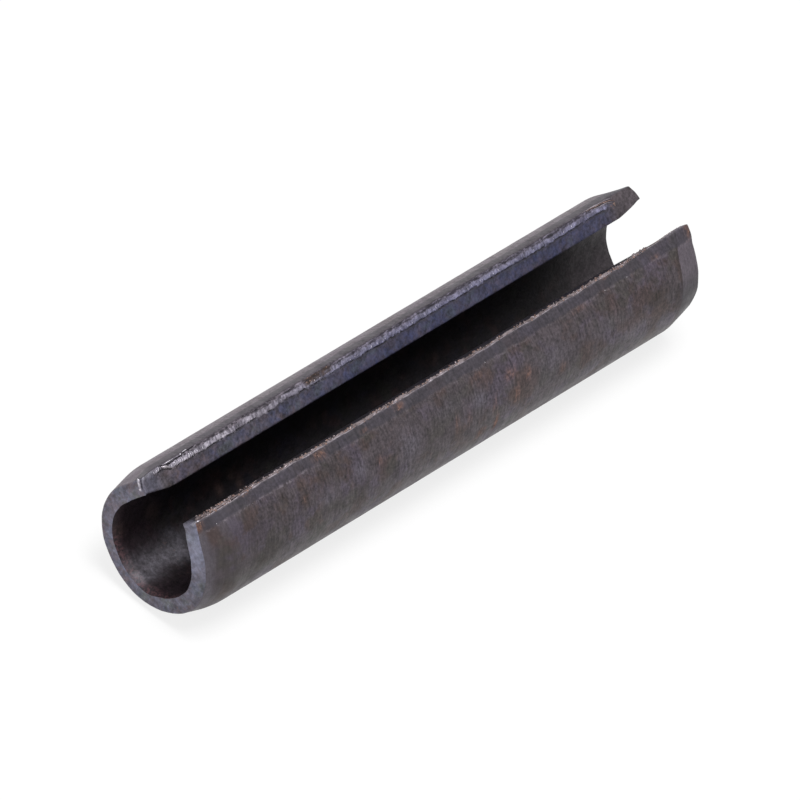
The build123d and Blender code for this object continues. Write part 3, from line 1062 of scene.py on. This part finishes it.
def surfacePoint(x, over, side=1, lift=0.0):    # on a dressed lip, at a distance over it from its outer edge
    station = np.abs(surface[:, 0, 0] - x).argmin()
    if side > 0:
        order = np.concatenate([np.arange(leftFace.start - 1, leftFace.stop), np.arange(columns // 2)])
    else:
        order = np.arange(rightFace.stop, columns // 2, -1)
    ring, along = surface[station, order], -marks["across"][station, order]
    y, z = (np.interp(-over, along, ring[:, k]) for k in (1, 2))
    down = ring[0, 1:] - surface[station, 0 if side > 0 else columns - 1, 1:]
    outwards = side * np.array([down[1], -down[0]]) / np.linalg.norm(down)
    return np.array([x, y + lift * outwards[0], z + lift * outwards[1]])


def onLeftFace(paths, lift):                # paths given as x, distance over the left face and half thickness
    return [[(surfacePoint(x, over, 1, lift), thick) for x, over, thick in path] for path in paths]


def buildEdgeBurr():
    burr = {"thick": 0.05, "from": -20.1, "to": 19.6, "step": 0.1}
    x = np.arange(burr["from"], burr["to"], burr["step"])
    lumpy = np.clip(0.9 + 0.3 * wave(x, 1.1, 300), 0.65, 1.15)
    fade = 0.45 + 0.3 * smoothStep(15, 12, x) + 0.2 * smoothStep(8, 4, x) + 0.2 * smoothStep(-7, -12, x)
    edge = [(surfacePoint(place, 0.0, -1), burr["thick"] * thick) for place, thick in zip(x, lumpy * fade)]
    growBeads("edgeBurr", [edge], {
        "Spacing": 0.06 * mm, "Wander": 0.05 * mm, "Thinnest": 0.65, "Thickest": 1.15, "Seed": 2.0,
        "Material": burrSteel})


def buildEdgeCrumbs():                      # a dull bead under the bright one, with scale and rust on it
    crumbs = {"from": -20.0, "to": 17.0, "step": 0.1, "reach": 0.24,
              "beadInside": 0.4, "beadThick": 0.055, "beadMore": 0.04}
    x = np.arange(crumbs["from"], crumbs["to"], crumbs["step"])
    thick = np.clip(0.65 + 0.9 * wave(x, 0.9, 83), 0.45, 1)
    wide = crumbs["reach"] * (0.8 + 0.5 * smoothStep(-13, -18, x))
    edge = [surfacePoint(place, 0.0, -1) for place in x]
    inner = [point + (0, reach, 0.05 * reach) for point, reach in zip(edge, wide)]
    share = crumbs["beadInside"]
    bead = [(point * (1 - share) + other * share, crumbs["beadThick"] + crumbs["beadMore"] * much)
            for point, other, much in zip(edge, inner, thick)]
    growBeads("dullBurr", [bead], {
        "Spacing": 0.07 * mm, "Wander": 0.09 * mm, "Seed": 8.0, "Material": crumbSteel})
    count = len(x)
    quads = [(k, k + 1, k + count + 1, k + count) for k in range(count - 1)]
    strip = newMesh("edgeStrip", edge + inner, (), quads)
    addMark(strip, "thick", np.concatenate([thick, thick]))
    growPiece("edgeCrumbs", strip, scatteredLumps, {
        "Mark": "thick", "Per Square Metre": 90e6, "Smallest": 0.025 * mm, "Largest": 0.075 * mm,
        "Flatness": 1.1, "Seed": 21, "Material": crumbSteel})
    growPiece("edgeRust", strip, scatteredLumps, {
        "Mark": "thick", "Per Square Metre": 45e6, "Smallest": 0.03 * mm, "Largest": 0.085 * mm,
        "Flatness": 1.1, "Seed": 23, "Material": rustySteel})


def buildTornSlivers():
    folded = ((-18.55, 0.12, 0.03), (-18.4, 0.19, 0.09), (-18.22, 0.29, 0.12), (-18.02, 0.41, 0.12),
              (-17.86, 0.5, 0.04))
    slivers = (
        ((-18.36, 0.03, 0.01), (-18.1, 0.05, 0.035), (-17.85, 0.05, 0.035), (-17.62, 0.04, 0.012)),
        ((-17.12, 0.03, 0.05), (-17.05, 0.03, 0.05)),
        ((-16.85, -0.02, 0.02), (-16.5, -0.04, 0.02)),
    )
    nick = {"x": -20.22, "path": (          # y, z and half thickness, on the end of the left lip
        (2.2, 7.76, 0.02), (2.15, 7.7, 0.07), (2.07, 7.59, 0.09), (1.95, 7.39, 0.12), (1.85, 7.22, 0.11),
        (1.8, 7.13, 0.03))}
    corner = ((-20.18, 0.04), (-20.0, 0.07), (-19.8, 0.03))     # x and half thickness, on the right edge
    growBeads("foldedSliver", onLeftFace((folded,), 0.0), {
        "Spacing": 0.05 * mm, "Wander": 0.02 * mm, "Seed": 12.0, "Material": foldSteel})
    paths = onLeftFace(slivers, 0.015)
    paths.append([((nick["x"], y, z), thick) for y, z, thick in nick["path"]])
    paths.append([(surfacePoint(x, 0.0, -1) - (0, 0, 0.02), thick) for x, thick in corner])
    growBeads("tornSlivers", paths, {
        "Spacing": 0.04 * mm, "Wander": 0.02 * mm, "Seed": 5.0, "Material": tornSteel})


def buildFarScratches():                    # a lap in the left lip at the far end: pale, with rust between that also serves as a painted shadow line
    pale = (
        ((15.9, -0.05, 0.01), (16.6, -0.03, 0.03), (17.4, 0.0, 0.04), (18.0, 0.05, 0.03), (18.4, 0.13, 0.01)),
        ((16.9, 0.16, 0.01), (17.4, 0.2, 0.035), (17.9, 0.22, 0.04), (18.3, 0.34, 0.02)),
    )
    # a bead of rust along the lap, also a painted shadow line
    rustAndShadow = ((16.3, 0.03, 0.01), (17.0, 0.07, 0.03), (17.6, 0.1, 0.035), (18.1, 0.17, 0.03),
              (18.5, 0.3, 0.01))
    for name, paths, material in (("farScratches", pale, burrSteel), ("farRustLine", (rustAndShadow,), rustySteel)):
        growBeads(name, onLeftFace(paths, 0.008), {
            "Spacing": 0.05 * mm, "Wander": 0.03 * mm, "Seed": 9.0, "Material": material})


def buildTearMarkPiece():                   # from x to x, with the spacing and the strength of the marks
    zones = {"byEnd": (-19.15, -18.6, 0.13, 0.8), "dense": (-17.8, -15.9, 0.13, 1.0),
             "spread": (-15.8, 16.5, 0.45, 0.5)}
    rng = np.random.default_rng(12)
    places = []
    for start, stop, spacing, strong in zones.values():
        x = np.arange(start, stop, spacing)
        x = x + rng.uniform(-0.4, 0.4, len(x)) * spacing
        places += [(one, strong * rng.uniform(0.6, 1.1)) for one in x]
    middles = [(x, tornLine(x, 1) - tear["shelf"] / 2) for x, strong in places]
    centres, ends = (np.array([surfacePoint(x, over + ahead) for x, over in middles]) for ahead in (0, 0.1))
    mesh = newMesh("tearPlaces", centres)
    addMark(mesh, "thickness", [strong for x, strong in places])
    addMark(mesh, "down", (ends - centres).reshape(-1), "FLOAT_VECTOR")
    growPiece("tearMarks", mesh, tearMarks, {
        "Thickness": 0.028 * mm, "Length": 0.15 * mm, "Lean": 0.35, "Seed": 4, "Material": tornSteel})


burrSteel = bareSteel("burrSteel", (104, 96, 102), (158, 150, 157))
crumbSteel = bareSteel("crumbSteel", (90, 79, 80), (134, 123, 126))
rustySteel = rustGrain()
foldSteel = bareSteel("foldSteel", (112, 106, 112), (158, 152, 158))
tornSteel = bareSteel("tornSteel", (136, 131, 142), (212, 208, 216))
fleckSteel = bareSteel("fleckSteel", (150, 146, 150), (210, 208, 212))
raggedBurr, scatteredLumps, tearMarks = buildRaggedBurr(), buildScatter(), buildTearMarks()
buildEdgeBurr()
buildEdgeCrumbs()
buildTornSlivers()
buildFarScratches()
buildTearMarkPiece()
growPiece("rustCrumbs", springPin.data, scatteredLumps, {
    "Mark": "crumbs", "Per Square Metre": 60e6, "Smallest": 0.014 * mm, "Largest": 0.05 * mm,
    "Flatness": 0.55, "Seed": 3, "Material": rustySteel})
growPiece("paleFlecks", springPin.data, scatteredLumps, {
    "Mark": "fleck", "Per Square Metre": 2.5e6, "Smallest": 0.012 * mm, "Largest": 0.035 * mm,
    "Flatness": 0.5, "Seed": 9, "Material": fleckSteel})


def seenDirectly(tree):                     # 1 for what the camera sees, also in a mirror or through glass
    light = addNode("ShaderNodeLightPath", tree=tree)
    seen = combine("MAXIMUM", light["Is Camera Ray"], light["Is Glossy Ray"])
    return combine("MAXIMUM", seen, light["Is Transmission Ray"])


def mixShaders(share, first, second, socket):
    send(addNode("ShaderNodeMixShader", {0: share, 1: first, 2: second})[0], socket)


def buildTable():
    look = {"reach": 3000.0, "tone": (0.86, 0.86, 0.86, 1), "glow": 0.8}
    reach = look["reach"]
    corners = [(-reach, -reach, 0), (reach, -reach, 0), (reach, reach, 0), (-reach, reach, 0)]
    table = addObject("table", newMesh("table", corners, (), [(0, 1, 2, 3)]))
    material, tree, shader = newMaterial("paleTable")
    for name, value in (("Base Color", look["tone"]), ("Roughness", 0.9), ("Specular IOR Level", 0.0)):
        shader.inputs[name].default_value = value
    glow = addNode("ShaderNodeEmission", {"Color": (1, 1, 1, 1), "Strength": 1.0}, tree)[0]
    lit = Value(tree, shader.outputs[0])
    mixShaders(seenDirectly(tree) * look["glow"], lit, glow, tree.nodes["Material Output"].inputs["Surface"])
    table.data.materials.append(material)


def buildLight():                           # each lamp's place, size and power
    lamps = {"overhead": ((-0.05, -0.085, 0.6), 0.28, 3.6), "endLight": ((-0.7, -0.05, 0.3), 0.4, 1.0)}
    ambient = 0.42
    world = bpy.data.worlds.new("studio")
    bpy.context.scene.world = world
    world.use_nodes = True
    tree = world.node_tree
    around = tree.nodes["Background"]
    around.inputs["Color"].default_value = (1, 1, 1, 1)
    around.inputs["Strength"].default_value = ambient
    backdrop = addNode("ShaderNodeBackground", {"Color": (1, 1, 1, 1), "Strength": 1.0}, tree)[0]
    lit = Value(tree, around.outputs[0])
    mixShaders(seenDirectly(tree), lit, backdrop, tree.nodes["World Output"].inputs["Surface"])
    for name, (place, size, power) in lamps.items():
        lamp = bpy.data.lights.new(name, "AREA")
        lamp.size = size
        lamp.energy = power
        light = addObject(name, lamp)
        light.location = place
        light.rotation_euler = (-Vector(place)).to_track_quat("-Z", "Y").to_euler()


def buildCamera():
    view = {"aim": (-0.31, 0.05, 4.25), "distance": 753.6, "azimuth": -147.81, "elevation": 41.67,
            "roll": 15.5, "lens": 620.6, "sensor": 36}
    data = bpy.data.cameras.new("camera")
    data.lens = view["lens"]
    data.sensor_width = view["sensor"]
    data.clip_start = 0.01
    azimuth, elevation = math.radians(view["azimuth"]), math.radians(view["elevation"])
    level = math.cos(elevation)
    back = Vector((math.cos(azimuth) * level, math.sin(azimuth) * level, math.sin(elevation)))
    camera = addObject("camera", data)
    turn = back.to_track_quat("Z", "Y").to_matrix() @ Matrix.Rotation(math.radians(view["roll"]), 3, "Z")
    place = (Vector(view["aim"]) + back * view["distance"]) * mm
    camera.matrix_world = Matrix.Translation(place) @ turn.to_4x4()
    bpy.context.scene.camera = camera


buildTable()
buildLight()
buildCamera()
bpy.context.scene.view_settings.view_transform = "Standard"
print("table, light and camera set")
